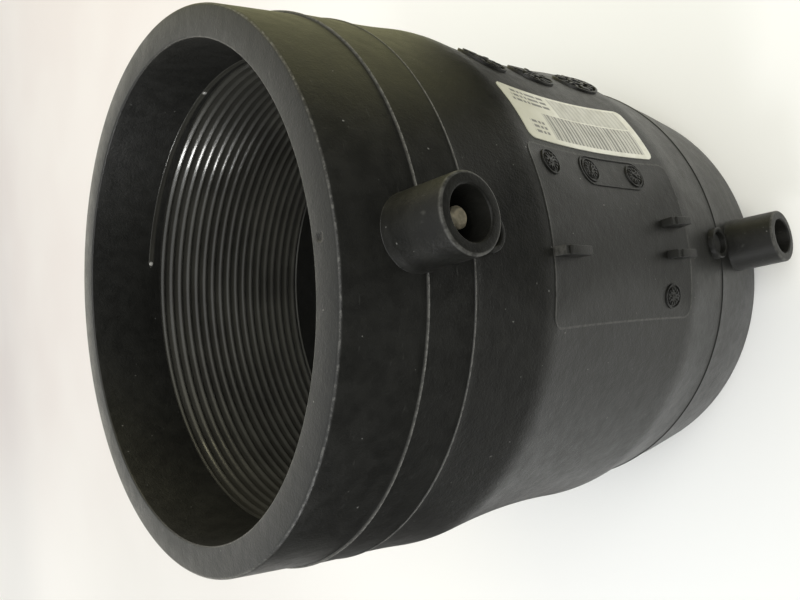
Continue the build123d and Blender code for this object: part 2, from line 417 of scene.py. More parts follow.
# %% Helpers for flat marks
def wrap(bm, azimuth, place):
    """Bends a flat mark round the waist, at an azimuth from -Y towards +X and a place from the top."""
    for vert in bm.verts:
        angle = radians(azimuth - 90) + vert.co.x / waist_radius
        level = height(place) + vert.co.y
        distance = waist_at(level) + vert.co.z
        vert.co = (distance * cos(angle), distance * sin(angle), level)
    face_outwards(bm)
    return bm


def slice_flat(bm, width, length, spacing):
    """Cuts a flat mark across and along, so that it can bend."""
    for axis, size in ((0, width), (1, length)):
        cuts = int(size / spacing)
        for cut in range(1, cuts):
            place, normal = Vector((0, 0, 0)), Vector((0, 0, 0))
            place[axis] = -size / 2 + cut * size / cuts
            normal[axis] = 1
            bmesh.ops.bisect_plane(bm, geom=bm.verts[:] + bm.edges[:] + bm.faces[:], dist=0.0001,
                                   plane_co=place, plane_no=normal)


def rounded_sheet(width, length, corner, segments=6):
    """A flat rectangle with round corners, as one face."""
    bm = bmesh.new()
    bmesh.ops.create_grid(bm, x_segments=1, y_segments=1, size=0.5)
    bmesh.ops.scale(bm, vec=(width, length, 1), verts=bm.verts)
    bevel(bm, bm.verts[:], corner, segments, affect="VERTICES")
    return bm


def raise_sheet(bm, bottom, top):
    """Gives a flat sheet a closed thickness, from bottom to top."""
    bmesh.ops.translate(bm, vec=(0, 0, bottom), verts=bm.verts)
    raised = bmesh.ops.extrude_face_region(bm, geom=bm.faces[:], use_keep_orig=True)["geom"]
    moved = [item for item in raised if isinstance(item, bmesh.types.BMVert)]
    bmesh.ops.translate(bm, vec=(0, 0, top - bottom), verts=moved)
    return [item for item in raised if isinstance(item, bmesh.types.BMFace)]


# %% The raised panel and its border
panel_width, panel_length = 40.4, 57.6
panel_corner = 3.0
panel_azimuth = 0.65
panel_sink, panel_height = 0.4, 0.05  # below and above the waist's surface
border_width = 0.6
border_slope, border_depth = 0.2, 0.015  # the panel's inside lies this much below its border


def raised_panel():
    bm = rounded_sheet(panel_width, panel_length, panel_corner)
    outer = raise_sheet(bm, bottom=-panel_sink, top=panel_height)
    for thickness in (border_width, border_slope):
        bmesh.ops.inset_region(bm, faces=outer, thickness=thickness, depth=0, use_even_offset=True,
                               use_boundary=True)
    bmesh.ops.translate(bm, vec=(0, 0, -border_depth), verts=outer[0].verts)
    slice_flat(bm, panel_width, panel_length, spacing=2.4)
    return wrap(bm, panel_azimuth, middle)


panel = raised_panel()
print("panel:", len(panel.faces), "faces")

# %% [markdown]
# ### Dials and badges
#
# Each dial is the print of a small turned insert in the mould: a thin outer ring, a groove, and a hub with
# an arrow among twelve ticks. The badges beside the label are larger and coarser, with uneven spokes
# between a hub and a thin rim.

# %% Model dials and badges flat, then wrap them
mark_sink = 0.3  # how far a mark's foot goes into the wall
relief_foot = 0.2  # the arrow and the ticks start inside the hub


def bar(width, length, bottom, top, middle_y=0.0, turned=0.0, taper=0.0, rounding=0.05):
    """A small bar with rounded edges, its far end narrowed by taper, turned about the mark's middle."""
    bm = block(width, length, top - bottom)
    for vert in bm.verts:
        if vert.co.y > 0:
            vert.co.x *= 1 - taper
    bevel(bm, bm.edges[:], rounding)
    bmesh.ops.translate(bm, vec=(0, middle_y, (top + bottom) / 2), verts=bm.verts)
    rotate(bm, turned)
    return bm


dial_radius = 3.1
dial_azimuth = 14.4
dials = [(dial_azimuth, 58.0, 20), (dial_azimuth, 74.0, 75), (dial_azimuth, 92.3, -40), (-11.9, 99.9, 10)]
ring_top, groove_floor, hub_top, arrow_top, tick_top = 0.4, 0.04, 0.36, 0.62, 0.58
ring_inner, groove_outer, groove_inner, hub_radius = 2.75, 2.65, 2.25, 2.2
shaft, arrow_head, tick = (0.42, 1.7), (1.1, 0.8), (0.36, 0.75)  # widths and lengths


def dial(azimuth, place, arrow_angle):
    disc = turn_about_bore([
        (0, -mark_sink, 0), (dial_radius, -mark_sink, 0), (dial_radius, ring_top, 0.1),
        (ring_inner, ring_top, 0.06), (groove_outer, groove_floor, 0), (groove_inner, groove_floor, 0),
        (hub_radius, hub_top, 0.06), (0, hub_top, 0),
    ], steps=48)
    aim = radians(arrow_angle)
    arrow = [
        bar(*shaft, relief_foot, arrow_top, middle_y=-0.1, turned=aim),
        bar(*arrow_head, relief_foot, arrow_top, middle_y=0.95, turned=aim, taper=0.85),
    ]
    ticks = [bar(*tick, relief_foot, tick_top, middle_y=1.72, turned=2 * pi * hour / 12, rounding=0.04)
             for hour in range(12)]
    return [wrap(shape, azimuth, place) for shape in [disc] + arrow + ticks]


badge_azimuth = 48.0
badge_place = 84.4
badge_spacing = 19.2
badge_radius, badge_rim, badge_rim_top = 6.6, 0.6, 0.6
badge_hub_radius, badge_hub_top, well_radius, well_floor = 2.4, 0.85, 1.5, 0.35
badge_spokes = 15
spoke_width, spoke_length = (0.7, 1.25), (1.6, 2.8)  # least and most
spoke_top, spoke_middle = (0.55, 0.95), (4.2, 4.6)
chance = random.Random(11)


def badge(place):
    inner = badge_radius - badge_rim
    ring = turn_about_bore([
        (inner, -mark_sink, 0), (badge_radius, -mark_sink, 0),
        (badge_radius, badge_rim_top, 0.15), (inner, badge_rim_top, 0.15),
    ], steps=64)
    hub = turn_about_bore([
        (0, -mark_sink, 0), (badge_hub_radius, -mark_sink, 0), (badge_hub_radius, badge_hub_top, 0.2),
        (well_radius, badge_hub_top, 0.1), (well_radius, well_floor, 0), (0, well_floor, 0),
    ], steps=48)
    spokes = []
    for spoke in range(badge_spokes):
        width, length = chance.uniform(*spoke_width), chance.uniform(*spoke_length)
        top = chance.uniform(*spoke_top)
        spokes.append(bar(width, length, -0.2, top, middle_y=chance.uniform(*spoke_middle),
                          turned=2 * pi * spoke / badge_spokes, rounding=0.12))
    return [wrap(shape, badge_azimuth, place) for shape in [ring, hub] + spokes]


marks = []
for azimuth, place, arrow_angle in dials:
    marks += dial(azimuth, place, arrow_angle)
for step in (-1, 0, 1):
    marks += badge(badge_place + step * badge_spacing)
print("dials and badges:", len(marks), "shapes")

# %% [markdown]
# ### The capsule and the lugs
#
# Two of the dials share one capsule-shaped outline, a fine raised line. Three upright lugs stand on the
# panel; each steps down a little at its end towards the upper mouth.

# %% Outline of the capsule
capsule_place = 83.1
capsule_spacing = 18.3  # between the two dials that it holds
capsule_gap = 0.8  # from a dial to the line's outer edge
capsule_line, capsule_height = 0.35, 0.28


def capsule():
    width = 2 * (dial_radius + capsule_gap)
    bm = rounded_sheet(width, width + capsule_spacing, corner=width / 2 - 0.01, segments=16)
    inner = bmesh.ops.inset_region(bm, faces=bm.faces[:], thickness=capsule_line, depth=0,
                                   use_even_offset=True, use_boundary=True)
    keep = set(inner["faces"])
    bmesh.ops.delete(bm, geom=[face for face in bm.faces if face not in keep], context="FACES")
    raise_sheet(bm, bottom=0.0, top=capsule_height)
    slice_flat(bm, width, width + capsule_spacing, spacing=1.6)
    return wrap(bm, dial_azimuth, capsule_place)


marks.append(capsule())

# %% Lugs
lug_width = 2.1
lug_top = bore_radius + 14.9
lug_draft = 0.86  # width at the top, as a share of the width at the foot
lugs = [(-3.1, 51.0, 10.0), (3.6, 98.0, 7.5), (-3.1, 98.3, 7.5)]  # azimuth, start, length
lug_step_length, lug_step_drop = 1.6, 0.45
lug_rounding = 0.16


def lug(azimuth, start, length, drop=0.0):
    """A fin that stands on the waist, with a flat top that lies drop below the lugs' full height."""
    centre = start + length / 2
    bm = block(lug_width, length, 1)
    for vert in bm.verts:
        if vert.co.z > 0:
            vert.co.x *= lug_draft
    bevel(bm, bm.edges[:], lug_rounding, segments=3)
    top = lug_top - drop - waist_at(height(centre))
    for vert in bm.verts:
        vert.co.z = -mark_sink if vert.co.z < 0 else top + (vert.co.z - 0.5)
    return wrap(bm, azimuth, centre)


for azimuth, start, length in lugs:
    marks.append(lug(azimuth, start, length, drop=lug_step_drop))
    marks.append(lug(azimuth, start + lug_step_length, length - lug_step_length))

# %% Join the moulding
moulding = finished("moulding", [wall, panel] + shrouds + indicator_rings + marks)
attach(moulding, "root")
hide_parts("body")

# %% [markdown]
# ## The windings
#
# Inside each half the wire lies in 18 turns under a thin glossy skin, which makes a fine screw thread of
# rounded ridges. A ridge climbs slowly on its mouth side and falls away faster behind, as the skin was
# wiped on by the core when it was drawn. One turn's ridge is a wavy line, screwed up by one pitch per
# turn. Turns are added at both ends and let down behind the plain wall, so that the first ridge grows
# out of the wall instead of ending in a step.

# %% One winding as a screw
crest_share = 0.78  # where along its pitch a turn is highest
crest_height = 0.15  # a turn stands this proud of the bore wall
valley_depth = 0.4
slope_rise = 0.36  # how much of the climb is the gentle slope; the wire's own bead is the rest
bead_start = 0.36
fall_start, fall_end = crest_share + 0.02, 0.99
turn_steps = 120
ridge_points = 16
lead_join_angle = 155.7  # from +X, where the first turn leaves the lead
first_crest_place = entry_length + 0.8
hidden_gap = 0.03  # how far behind the bore wall the screw is let down
seat_ease = 0.5
seat_margin = 0.4


def smooth_step(value, low, high):
    share = min(1.0, max(0.0, (value - low) / (high - low)))
    return share * share * (3 - 2 * share)


def ridge_rise(share):
    """Height of the skin at a share of its pitch: a gentle slope, the wire's own bead, and a steep fall."""
    slope = slope_rise * min(1.0, share / crest_share)
    bead = (1 - slope_rise) * smooth_step(share, bead_start, crest_share)
    return (slope + bead) * (1 - smooth_step(share, fall_start, fall_end))


def fit_to_seat(bm):
    """Lets the screw down behind the plain wall where it runs past its seat."""
    hidden = bore_radius + hidden_gap
    highest = height(entry_length - seat_margin)
    lowest = height(entry_length + fusion_length + seat_margin)
    for vert in bm.verts:
        place = body_length - vert.co.z
        inside = min(place - entry_length, entry_length + fusion_length - place)
        share = min(1.0, max(0.0, inside / seat_ease))
        radius = hypot(vert.co.x, vert.co.y)
        target = hidden + (radius - hidden) * share
        vert.co.x *= target / radius
        vert.co.y *= target / radius
        vert.co.z = min(highest, max(lowest, vert.co.z))


def winding():
    bm = bmesh.new()
    top = height(first_crest_place) + crest_share * winding_pitch + winding_pitch
    line = []
    for point in range(ridge_points + 1):
        share = point / ridge_points
        radius = bore_radius + valley_depth - (crest_height + valley_depth) * ridge_rise(share)
        line.append(bm.verts.new((radius, 0, top - share * winding_pitch)))
    edges = [bm.edges.new(pair) for pair in zip(line, line[1:])]
    rotate(bm, radians(lead_join_angle))
    spin(bm, line + edges, 2 * pi, turn_steps, axis=(0, 0, -1), rise=-winding_pitch / turn_steps)
    one_turn = bm.verts[:] + bm.edges[:] + bm.faces[:]
    for turn_number in range(1, winding_turns + 2):
        copy = bmesh.ops.duplicate(bm, geom=one_turn)["geom"]
        copied = [item for item in copy if isinstance(item, bmesh.types.BMVert)]
        bmesh.ops.translate(bm, vec=(0, 0, -turn_number * winding_pitch), verts=copied)
    bmesh.ops.remove_doubles(bm, verts=bm.verts, dist=2 * merge_distance)
    fit_to_seat(bm)
    bmesh.ops.recalc_face_normals(bm, faces=bm.faces)
    bmesh.ops.dissolve_degenerate(bm, dist=merge_distance, edges=bm.edges)
    return bm


upper_winding = winding()
print("winding:", len(upper_winding.faces), "faces")

# %% [markdown]
# ### The lead
#
# From the first turn the wire climbs on towards the mouth in a steeper screw, as a flat ridge with two
# soft edges, and ends in a small bright knob. It rises a little slower at first and faster near its tip,
# so after the spin each point is moved along the bore by a smooth amount that is nothing at both ends.

# %% The lead, its knob and its tip
lead_turn = 276.0
lead_rise = 3.5
lead_width = 1.5
lead_height = 0.09
lead_sink = 0.2
lead_shoulder = 0.75  # where the edges stand, as a share of half the width
lead_dip = 0.4  # height between the edges, as a share of their height
lead_bow = -0.35
lead_edge_rounding, lead_dip_rounding = 0.26, 0.3
lead_steps = 150
knob_share = 0.78  # of the way from the first turn to the tip


def lead():
    start = height(first_crest_place)
    half = lead_width / 2
    edge_radius = bore_radius - lead_height
    bm = bmesh.new()
    section(bm, [
        (bore_radius + lead_sink, start - half, 0), (bore_radius, start - half, 0),
        (edge_radius, start - half * lead_shoulder, lead_edge_rounding),
        (bore_radius - lead_height * lead_dip, start, lead_dip_rounding),
        (edge_radius, start + half * lead_shoulder, lead_edge_rounding),
        (bore_radius, start + half, 0), (bore_radius + lead_sink, start + half, 0),
    ], about_bore, segments=3)
    rotate(bm, radians(lead_join_angle - 360))
    first = bm.faces[:][0]
    spin(bm, first.verts[:] + first.edges[:], radians(lead_turn), lead_steps, rise=lead_rise / lead_steps)
    bmesh.ops.holes_fill(bm, edges=[edge for edge in bm.edges if edge.is_boundary], sides=0)
    for vert in bm.verts:
        share = (degrees(atan2(vert.co.y, vert.co.x)) - (lead_join_angle - 360)) % 360 / lead_turn
        share = min(1.0, share) if share < 1.2 else 0.0  # the start's own points may wrap round to 360
        vert.co.z += lead_bow * sin(pi * share)
    face_outwards(bm)
    return bm


knob_centres = []


def knob(share, radius, length, proud):
    """A small rounded lump on the lead, stretched along it."""
    angle = radians(lead_join_angle - 360 + lead_turn * share)
    level = height(first_crest_place) + lead_rise * share + lead_bow * sin(pi * share)
    knob_centres.append(Vector((bore_radius * cos(angle), bore_radius * sin(angle), level)))
    bm = bmesh.new()
    bmesh.ops.create_icosphere(bm, subdivisions=3, radius=1)
    bmesh.ops.scale(bm, vec=(proud, length, radius), verts=bm.verts)
    bmesh.ops.translate(bm, vec=(bore_radius, 0, level), verts=bm.verts)
    rotate(bm, angle)
    return bm


small_knob = knob(knob_share, radius=0.55, length=0.6, proud=0.22)
tip_knob = knob(1.0, radius=0.6, length=1.1, proud=0.2)
upper_wire = [upper_winding, lead(), small_knob, tip_knob]

# %% [markdown]
# ### The lower winding and the cross-over
#
# The lower half is the upper one turned by half a turn about the terminals' direction. A mirror would make
# a left-handed screw, and both windings are right-handed because the wire is wound on in one go. Between
# them the wire runs straight along the bore wall.

# %% Copy the winding for the lower half and join them
cross_length, cross_depth, cross_rounding = 28.0, 0.5, 0.12


def turned_over(bm):
    """A copy, turned half round about the terminals' direction."""
    copy = bm.copy()
    rotate(copy, pi, axis="Y", centre=(0, 0, middle))
    return copy


def crossover():
    bm = block(cross_depth, lead_width, cross_length)
    bevel(bm, bm.edges[:], cross_rounding)
    distance = bore_radius + cross_depth / 2 - lead_height
    bmesh.ops.translate(bm, vec=(distance, 0, middle), verts=bm.verts)
    return bm


lower_wire = [turned_over(shape) for shape in upper_wire]
wire = finished("winding", upper_wire + lower_wire + [crossover()], sharp_angle=50)
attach(wire, "root")
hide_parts("heating_wire")

# %% [markdown]
# ## The contact pins
#
# Plain turned brass, 4 mm across, with a broad foot moulded into the wall. Each shows as a flat disc deep in
# its shroud. The foot's end is dressed to the bore, so its vertices are moved onto the bore's radius.

# %% Spin the contact pins
pin_radius = 2.0
pin_foot_radius = 3.0
pin_foot_start = 54.0  # from the bore's axis, before it is dressed to the bore
pin_foot_top = collar_radius + shroud_floor + 0.05
pin_chamfer = 0.6
pin_rounding, pin_end_rounding = 0.1, 0.06
pin_distance = rim_distance - 2.6
dressing_gap = 0.02
pin_steps = 48


def contact_pin(end):
    bm = turn_outwards([
        (0, pin_foot_start, 0),
        (pin_foot_radius, pin_foot_start, 0),
        (pin_foot_radius, pin_foot_top, pin_rounding),
        (pin_radius, pin_foot_top, 0),
        (pin_radius, pin_distance - pin_chamfer, pin_rounding),
        (pin_radius - pin_chamfer, pin_distance, pin_end_rounding),
        (0, pin_distance, 0),
    ], height(terminal_place, end), pin_steps)
    for vert in bm.verts:
        dressed = -sqrt((bore_radius - dressing_gap) ** 2 - vert.co.x ** 2)
        vert.co.y = min(vert.co.y, dressed)
    return bm


pins = []
for name, end in ENDS.items():
    pin = finished("pin_" + name, [contact_pin(end)])
    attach(pin, "root")
    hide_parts("contact_pin_" + name)
    pins.append(pin)

# %% [markdown]
# ## The label
#
# Thin white film, printed in grey. It is a sheet with round corners, wrapped like the marks and given its
# thickness. Its print is placed with a UV map in millimetres, written while the sheet is still flat, so
# the bars stay straight on the sheet and bend with it.

# %% Wrap the label
label_width, label_length = 17.4, 50.6
label_corner = 2.0
label_azimuth = 26.7
label_thickness, label_sink = 0.2, 0.1


def label_sheet():
    bm = rounded_sheet(label_width, label_length, label_corner)
    raise_sheet(bm, bottom=-label_sink, top=label_thickness)
    slice_flat(bm, label_width, label_length, spacing=1.6)
    flat = bm.loops.layers.uv.new("print")
    for face in bm.faces:
        for loop in face.loops:
            loop[flat].uv = (loop.vert.co.x, loop.vert.co.y)
    return wrap(bm, label_azimuth, middle)


label = finished("label_film", [label_sheet()])
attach(label, "root")
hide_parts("label")

# %% [markdown]
# ## Finishes
#
# Each finish is a small node tree. The helpers below keep a tree readable: one makes a node and wires its
# inputs, some do arithmetic, and one draws a soft-edged band around a value, which is how wear and painted
# highlights are put on the raised lines, and wear on the mouth's edge.

# %% Helpers for node trees
class Finish:
    """A material with short ways to add nodes to it."""

    def __init__(self, name):
        self.material = bpy.data.materials.new(name)
        self.material.use_nodes = True
        self.nodes = self.material.node_tree.nodes
        self.links = self.material.node_tree.links
        self.shader = self.nodes["Principled BSDF"]

    def add(self, kind, inputs=(), **settings):
        """A node with its settings, and with its inputs given by name or number as links or values."""
        node = self.nodes.new(kind)
        for key, value in settings.items():
            setattr(node, key, value)
        for key, value in dict(inputs).items():
            self.feed(node.inputs[key], value)
        return node

    def feed(self, socket, value):
        if isinstance(value, bpy.types.NodeSocket):
            self.links.new(value, socket)
        else:
            socket.default_value = value

    def shade(self, inputs):
        """Feeds the shader's own inputs."""
        for key, value in inputs.items():
            self.feed(self.shader.inputs[key], value)

    def math(self, operation, first, second=0.0):
        return self.add("ShaderNodeMath", {0: first, 1: second}, operation=operation).outputs[0]

    def chain(self, operation, first, others):
        for other in others:
            first = self.math(operation, first, other)
        return first

    def times(self, first, *others):
        return self.chain("MULTIPLY", first, others)

    def plus(self, first, *others):
        return self.chain("ADD", first, others)

    def most(self, first, *others):
        return self.chain("MAXIMUM", first, others)

    def away(self, value, centre):
        """How far value is from centre, either way."""
        return self.math("ABSOLUTE", self.math("SUBTRACT", value, centre))

    def parts(self, vector):
        """The three numbers of a vector."""
        return self.add("ShaderNodeSeparateXYZ", {0: vector}).outputs[:3]

    def length(self, first, second):
        """Length of two numbers at right angles."""
        pair = self.add("ShaderNodeCombineXYZ", {0: first, 1: second}).outputs[0]
        return self.add("ShaderNodeVectorMath", {0: pair}, operation="LENGTH").outputs["Value"]

    def distance(self, vector, spot):
        node = self.add("ShaderNodeVectorMath", {0: vector, 1: spot}, operation="DISTANCE")
        return node.outputs["Value"]

    def ramp(self, value, low, high, to_low=0.0, to_high=1.0):
        """value between low and high, smoothly mapped to to_low and to_high."""
        node = self.add("ShaderNodeMapRange", {"Value": value, "From Min": low, "From Max": high,
                                               "To Min": to_low, "To Max": to_high})
        node.interpolation_type = "SMOOTHSTEP"
        return node.outputs["Result"]

    def band(self, value, centre, half_width):
        """1 where value is at centre, falling to 0 at half_width from it."""
        return self.ramp(self.away(value, centre), 0.35 * half_width, half_width, 1.0, 0.0)

    def blend(self, share, first, second):
        """A colour between two colours."""
        node = self.add("ShaderNodeMix", {"Factor": share, "A": first, "B": second}, data_type="RGBA")
        return node.outputs["Result"]

    def noise(self, vector, scale, detail=2.0, roughness=0.5):
        return self.add("ShaderNodeTexNoise", {"Vector": vector, "Scale": scale, "Detail": detail,
                                               "Roughness": roughness}).outputs["Fac"]

    def millimetres(self, scale=(1, 1, 1)):
        """The place on the object in millimetres, stretched by scale."""
        place = self.add("ShaderNodeTexCoord").outputs["Object"]
        size = tuple(value / MM for value in scale)
        return self.add("ShaderNodeMapping", {"Vector": place, "Scale": size}).outputs["Vector"]

    def bump(self, height_value, distance, strength=1.0, after=None):
        inputs = {"Height": height_value, "Distance": distance, "Strength": strength}
        if after:
            inputs["Normal"] = after
        return self.add("ShaderNodeBump", inputs).outputs["Normal"]


# %% [markdown]
# ### Black polyethylene
#
# The mould was spark-eroded, which leaves an even, fine, matte grain. Handling has polished and dusted it
# unevenly, so roughness and tone drift over some centimetres. The mouth's edge is worn pale. The raised lines
# and the shrouds' rims are worn pale too, with a painted highlight in the same pale band, and the panel's
# border carries a painted highlight. The shrouds came off smoother, darker inserts.

# %% The moulding's finish
# Pale amounts: wear at the mouth, wear and painted highlight on lines and rims, painted highlight on the
# border
line_wear_and_highlight, mouth_wear, border_highlight, rim_wear_and_highlight = 0.4, 0.2, 0.16, 0.2  # how pale each gets where it is rubbed
pit_place = (0.0, -58.6, body_length)  # one small pit in the upper mouth's face


def panel_edge(finish, x, y, reach):
    """Distance from the panel's outline, a rectangle with round corners; less than 0 is inside."""
    facing = finish.math("ARCTAN2", x, finish.times(y, -1.0))
    around = finish.times(finish.math("SUBTRACT", facing, radians(panel_azimuth)), waist_radius)
    past = []
    for distance, half in ((finish.math("ABSOLUTE", around), panel_width / 2), (reach, panel_length / 2)):
        past.append(finish.most(finish.math("SUBTRACT", distance, half - panel_corner), 0.0))
    return finish.math("SUBTRACT", finish.length(*past), panel_corner)


def polyethylene():
    finish = Finish("polyethylene")
    place = finish.millimetres()
    x, y, z = finish.parts(place)
    radius = finish.length(x, y)
    reach = finish.away(z, middle)
    outwards = finish.times(y, -1.0)

    grain = finish.noise(place, 1.9, detail=3.0, roughness=0.6)
    pores = finish.noise(place, 4.6, detail=1.0)
    drift = finish.noise(place, 0.045, detail=3.0, roughness=0.55)
    mottle = finish.noise(place, 0.3, detail=4.0, roughness=0.6)
    breaks = finish.noise(place, 0.9, detail=4.0, roughness=0.7)

    # Masks: the outside of the wall, the wall below what stands on it, the upper half, and patches
    outside = finish.ramp(radius, bore_radius + 5, bore_radius + 6)
    on_wall = finish.ramp(radius, bead_radius + 0.3, bead_radius + 0.5, 1.0, 0.0)
    upper_half = finish.ramp(z, middle - 5, middle + 5)
    patchy = finish.ramp(breaks, 0.36, 0.6, 0.3, 1.0)

    # The step line and the bead: a pale band on the upper half only, partly wear and partly a painted
    # highlight
    lines = finish.most(finish.band(reach, middle - step_place, 0.24),
                        finish.band(reach, middle - bead_place, 0.24))
    rubbed_and_highlit = finish.times(lines, outside, on_wall, upper_half, patchy)

    # The mouth's outer edge, which is worn; the panel's border, with a painted highlight; and the outer edge
    # of each shroud's rim, worn and with a painted highlight
    mouth = finish.times(finish.band(reach, middle - 0.2, 0.3), finish.band(radius, mouth_radius - 0.15, 0.3))
    chipped = finish.times(mouth, finish.ramp(breaks, 0.46, 0.62))
    # The border's pale band is a painted highlight, where its slope would mirror the bright table.
    border = finish.times(finish.band(panel_edge(finish, x, y, reach), -0.2, 0.35), outside)
    # The rim's pale band is partly wear and partly a painted highlight from the window's side.
    off_axis = finish.length(x, finish.math("SUBTRACT", reach, middle - terminal_place))
    rim = finish.times(finish.band(off_axis, shroud_radius - 0.25, 0.4),
                       finish.ramp(outwards, rim_distance - 0.7, rim_distance - 0.3))
    wear_and_highlight = finish.most(finish.times(rubbed_and_highlit, line_wear_and_highlight), finish.times(chipped, mouth_wear),
                       finish.times(border, patchy, border_highlight), finish.times(rim, patchy, rim_wear_and_highlight))

    # Fine scuffs that run round the coupler, a little dust, and the pit, dented by a bump and painted near
    # black as its shade
    scuff_field = finish.noise(finish.millimetres((0.22, 0.22, 2.4)), 1.0, roughness=0.7)
    scuffs = finish.ramp(scuff_field, 0.68, 0.78)
    dust = finish.ramp(finish.noise(place, 1.2, detail=0.0), 0.87, 0.89)
    ragged = finish.plus(finish.distance(place, pit_place), finish.times(breaks, 1.2))
    pit_and_shade = finish.ramp(ragged, 0.9, 1.7, 1.0, 0.0)

    tone = finish.plus(finish.times(finish.ramp(drift, 0.3, 0.7), 0.5),
                       finish.times(finish.ramp(mottle, 0.35, 0.65), 0.5))
    colour = finish.blend(tone, (0.0072, 0.0072, 0.0062, 1), (0.0125, 0.0125, 0.0105, 1))
    layers = [
        (finish.times(scuffs, 0.22), (0.12, 0.12, 0.11, 1)),
        (finish.ramp(pores, 0.62, 0.8, 0.0, 0.12), (0.09, 0.09, 0.085, 1)),
        (finish.times(dust, 0.4), (0.3, 0.3, 0.28, 1)),
        # wear and painted highlights share one pale colour
        (wear_and_highlight, (0.3, 0.295, 0.27, 1)),
        # the pit's near-black colour is painted shade
        (finish.times(pit_and_shade, 0.9), (0.002, 0.002, 0.002, 1)),
    ]
    for share, over in layers:
        colour = finish.blend(share, colour, over)

    rough = finish.plus(finish.ramp(drift, 0.25, 0.75, 0.37, 0.43), finish.ramp(mottle, 0.3, 0.7, 0.0, 0.07),
                        finish.times(wear_and_highlight, 0.15), finish.times(pit_and_shade, 0.3))
    shine = finish.ramp(outwards, collar_radius + 0.3, collar_radius + 1.8, 0.5, 0.3)

    normal = finish.bump(mottle, 0.35 * MM, 0.35)
    normal = finish.bump(grain, 0.1 * MM, 0.6, after=normal)
    normal = finish.bump(pores, 0.05 * MM, 0.4, after=normal)
    normal = finish.bump(finish.times(rubbed_and_highlit, breaks), 0.25 * MM, 0.8, after=normal)
    normal = finish.bump(finish.times(pit_and_shade, -1.0), 0.5 * MM, 0.9, after=normal)
    finish.shade({"Base Color": colour, "Roughness": rough, "Specular IOR Level": shine, "IOR": 1.47,
                  "Normal": normal})
    return finish.material


moulding.data.materials.append(polyethylene())
print("finish: polyethylene")

# %% [markdown]
# ### The winding's skin
#
# The same plastic, but pressed against a polished core: much smoother, so it shines along each ridge. The
# wire shows bare at the knobs of both leads, and their pale colour also holds a painted highlight.

# %% The winding's finish
def glossy_skin():
    finish = Finish("glossy_skin")
    place = finish.millimetres()
    drift = finish.noise(place, 0.06)
    fine = finish.noise(place, 2.5)
    skin = finish.blend(finish.ramp(drift, 0.3, 0.7), (0.034, 0.033, 0.028, 1), (0.055, 0.054, 0.045, 1))
    bare_and_glint = 0.0
    # Pale spots at the knobs: bare wire, with a painted highlight in the same colour
    for centre in knob_centres:
        for spot in (centre, Vector((-centre.x, centre.y, body_length - centre.z))):
            bare_and_glint = finish.most(bare_and_glint, finish.ramp(finish.distance(place, tuple(spot)), 0.35, 0.75, 1.0, 0.0))
    finish.shade({
        "Base Color": finish.blend(bare_and_glint, skin, (0.5, 0.49, 0.46, 1)),
        "Roughness": finish.ramp(fine, 0.3, 0.7, 0.28, 0.34),
        "IOR": 1.5, "Coat Weight": 0.6, "Coat Roughness": 0.1,
        "Normal": finish.bump(fine, 0.01 * MM, 0.3),
    })
    return finish.material


wire.data.materials.append(glossy_skin())
print("finish: glossy skin")

# %% [markdown]
# ### Brass, and the indicator's plain plastic
#
# The pins have been handled and have dulled to a warm grey-yellow. The indicator pins are the moulding's
# own black, a little smoother.

# %% Finishes of the small pins
def dull_brass():
    finish = Finish("dull_brass")
    stain = finish.noise(finish.millimetres(), 0.9, detail=3.0)
    rings = finish.noise(finish.millimetres((6, 6, 6)), 1.0, detail=1.0)
    finish.shade({
        "Base Color": finish.blend(finish.ramp(stain, 0.35, 0.7), (0.62, 0.55, 0.4, 1), (0.4, 0.36, 0.27, 1)),
        "Metallic": 0.75,
        "Roughness": finish.ramp(stain, 0.3, 0.7, 0.38, 0.55),
        "Normal": finish.bump(rings, 0.03 * MM, 0.5),
    })
    return finish.material


def indicator_plastic():
    finish = Finish("indicator_plastic")
    mottle = finish.noise(finish.millimetres(), 1.2)
    tone = finish.ramp(mottle, 0.3, 0.7)
    finish.shade({
        "Base Color": finish.blend(tone, (0.02, 0.02, 0.019, 1), (0.04, 0.04, 0.037, 1)),
        "Roughness": finish.ramp(mottle, 0.3, 0.7, 0.3, 0.45),
        "Normal": finish.bump(mottle, 0.08 * MM, 0.5),
    })
    return finish.material


brass = dull_brass()
for pin in pins:
    pin.data.materials.append(brass)
indicator_finish = indicator_plastic()
for name in ENDS:
    node = frame["nodes"]["indicator_pin_" + name]
    if not node.material_slots:
        node.data.materials.append(indicator_finish)
    node.material_slots[0].material = indicator_finish
print("finishes: brass and indicator plastic")

# %% [markdown]
# ### The printed film
#
# The print is generic: bars of grey and a few short strokes. Each bar's width comes from one random number
# per step along the label. The blocks are boxes in the UV map's millimetres.

# %% The label's finish
lower_block = (-7.4, 0.6, -22.6, 14.4)  # left, right, bottom, top
upper_block = (1.0, 7.9, -22.6, 6.4)
ink_edge = 0.05  # half the width of an inked edge


